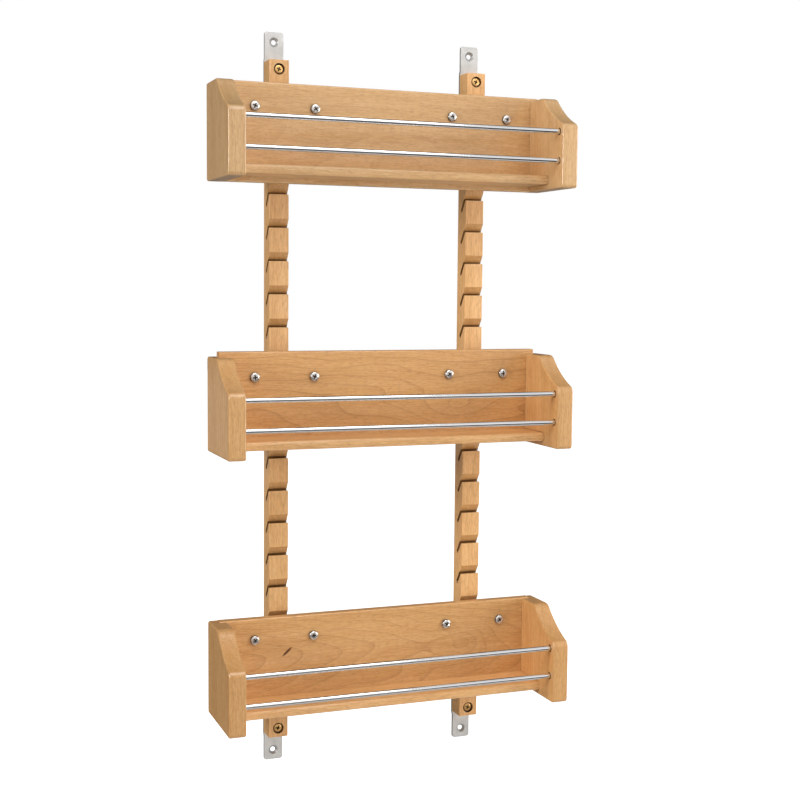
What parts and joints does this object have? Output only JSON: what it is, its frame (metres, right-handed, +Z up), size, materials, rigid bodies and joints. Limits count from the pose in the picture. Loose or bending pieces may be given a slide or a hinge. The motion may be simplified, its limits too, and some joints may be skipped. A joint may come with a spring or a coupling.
{
  "type": "hanging door storage rack",
  "caption": "Door-mounted pantry rack: lift-off wooden trays with chrome guard rods, hung on notched standards with steel strap brackets.",
  "frame": {"origin": "on the door face, midway between the two standards, level with the tips of the lower brackets", "axes": "+X to the right seen from the front, +Y into the door, +Z up"},
  "size_m": [0.322, 0.1011, 0.667],
  "materials": {
    "wood": "clear satin varnish over pale honey beech or maple",
    "chrome": "polished chrome plate",
    "strap_steel": "bright zinc plate, stamped strap",
    "nickel_screw": "nickel plate, satin",
    "brass": "antique brass plate"
  },
  "bodies": {
    "standards": {"left_standard": "wood", "upper_left_bracket": "strap_steel", "upper_left_bracket_screw": "brass", "lower_left_bracket": "strap_steel", "lower_left_bracket_screw": "brass", "right_standard": "wood", "upper_right_bracket": "strap_steel", "upper_right_bracket_screw": "brass", "lower_right_bracket": "strap_steel", "lower_right_bracket_screw": "brass"},
    "top_tray": {"top_left_side": "wood", "top_left_hanger": "strap_steel", "top_right_side": "wood", "top_right_hanger": "strap_steel", "top_back_panel": "wood", "top_shelf": "wood", "top_upper_rod": "chrome", "top_lower_rod": "chrome", "top_screw_1": "nickel_screw", "top_screw_2": "nickel_screw", "top_screw_3": "nickel_screw", "top_screw_4": "nickel_screw"},
    "middle_tray": {"middle_left_side": "wood", "middle_left_hanger": "strap_steel", "middle_right_side": "wood", "middle_right_hanger": "strap_steel", "middle_back_panel": "wood", "middle_shelf": "wood", "middle_upper_rod": "chrome", "middle_lower_rod": "chrome", "middle_screw_1": "nickel_screw", "middle_screw_2": "nickel_screw", "middle_screw_3": "nickel_screw", "middle_screw_4": "nickel_screw"},
    "bottom_tray": {"bottom_left_side": "wood", "bottom_left_hanger": "strap_steel", "bottom_right_side": "wood", "bottom_right_hanger": "strap_steel", "bottom_back_panel": "wood", "bottom_shelf": "wood", "bottom_upper_rod": "chrome", "bottom_lower_rod": "chrome", "bottom_screw_1": "nickel_screw", "bottom_screw_2": "nickel_screw", "bottom_screw_3": "nickel_screw", "bottom_screw_4": "nickel_screw"}
  },
  "joints": [
    {"name": "top_tray_lift_off", "type": "slide", "parent": "standards", "child": "top_tray", "axis": [0, -0.5664, 0.8241], "range_m": [0, 0.025]},
    {"name": "middle_tray_lift_off", "type": "slide", "parent": "standards", "child": "middle_tray", "axis": [0, -0.5664, 0.8241], "range_m": [0, 0.025]},
    {"name": "bottom_tray_lift_off", "type": "slide", "parent": "standards", "child": "bottom_tray", "axis": [0, -0.5664, 0.8241], "range_m": [0, 0.025]}
  ]
}
